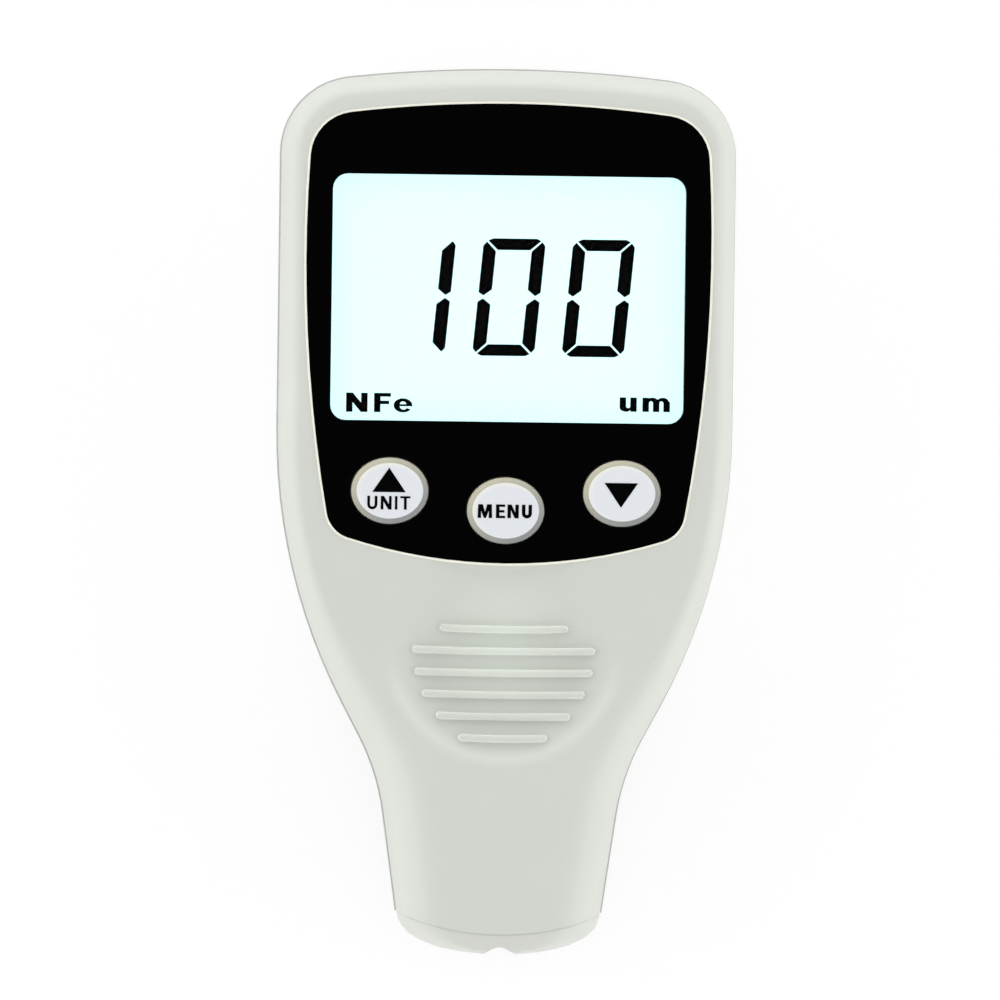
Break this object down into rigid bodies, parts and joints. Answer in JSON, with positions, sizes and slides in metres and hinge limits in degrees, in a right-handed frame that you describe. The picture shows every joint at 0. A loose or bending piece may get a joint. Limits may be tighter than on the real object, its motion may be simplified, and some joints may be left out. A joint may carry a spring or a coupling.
{
  "type": "coating thickness gauge",
  "caption": "Handheld coating thickness gauge with a lit display, oval keys, ribbed thumb dish and a sprung probe in a notched nose.",
  "frame": {"origin": "middle of the bounding box on the plane of the back, on which the gauge lies", "axes": "+Z out of the face, +Y towards the display end, +X to the right of a reader"},
  "size_m": [0.0542, 0.1054, 0.0273],
  "materials": {
    "case_plastic": "fine satin moulding texture",
    "panel_gloss": "back-printed clear sheet, black",
    "window_clear": "clear polished lens",
    "display_glass": "lit display face",
    "diffuser_white": "white diffuser",
    "dark_plastic": "moulded, dark",
    "strip_rubber": "layered conductive rubber",
    "board_laminate": "green solder mask",
    "chip_black": "moulded package",
    "can_metal": "plated can",
    "key_plastic": "pale satin key cap",
    "switch_black": "moulded switch body",
    "plunger_grey": "moulded plunger",
    "probe_steel": "turned sleeve",
    "tip_steel": "polished hard tip",
    "core_ferrite": "sintered core",
    "bobbin_plastic": "moulded bobbin",
    "coil_copper": "enamelled copper winding",
    "spring_steel": "nickel-plated spring wire and strip",
    "cell_jacket": "plain jacket",
    "screw_steel": "zinc-plated screw"
  },
  "bodies": {
    "body": {"front_housing": "case_plastic", "rear_housing": "case_plastic", "probe_collar": "case_plastic", "face_panel": "panel_gloss", "display_window": "window_clear", "display_glass": "display_glass", "backlight": "diffuser_white", "display_frame": "dark_plastic", "spring_cap": "dark_plastic", "connector_strip": "strip_rubber", "circuit_board": "board_laminate", "controller_chip": "chip_black", "buzzer": "chip_black", "crystal": "can_metal", "switch_up": "switch_black", "switch_menu": "switch_black", "switch_down": "switch_black", "probe_spring": "spring_steel", "contact_bridge": "spring_steel", "contact_negative": "spring_steel", "contact_positive": "spring_steel", "cell_left": "cell_jacket", "cell_right": "cell_jacket", "housing_screws": "screw_steel", "board_screws": "screw_steel"},
    "key_up": {"key_up": "key_plastic", "plunger_up": "plunger_grey"},
    "key_menu": {"key_menu": "key_plastic", "plunger_menu": "plunger_grey"},
    "key_down": {"key_down": "key_plastic", "plunger_down": "plunger_grey"},
    "probe": {"probe_sleeve": "probe_steel", "probe_tip": "tip_steel", "probe_core": "core_ferrite", "coil_bobbin": "bobbin_plastic", "drive_coil": "coil_copper", "pickup_coil": "coil_copper", "probe_plug": "dark_plastic"},
    "battery_door": {"battery_door": "case_plastic"}
  },
  "joints": [
    {"name": "key_up_press", "type": "slide", "parent": "body", "child": "key_up", "axis": [0, 0, -1], "range_m": [0, 0.0005], "stiffness_N_per_m": 1500},
    {"name": "key_menu_press", "type": "slide", "parent": "body", "child": "key_menu", "axis": [0, 0, -1], "range_m": [0, 0.0005], "stiffness_N_per_m": 1500},
    {"name": "key_down_press", "type": "slide", "parent": "body", "child": "key_down", "axis": [0, 0, -1], "range_m": [0, 0.0005], "stiffness_N_per_m": 1500},
    {"name": "probe_press", "type": "slide", "parent": "body", "child": "probe", "axis": [0, 1, 0], "range_m": [0, 0.002], "stiffness_N_per_m": 500, "deforming": ["probe_spring"]},
    {"name": "door_slide", "type": "slide", "parent": "body", "child": "battery_door", "axis": [0, -1, 0], "range_m": [0, 0.062]}
  ]
}
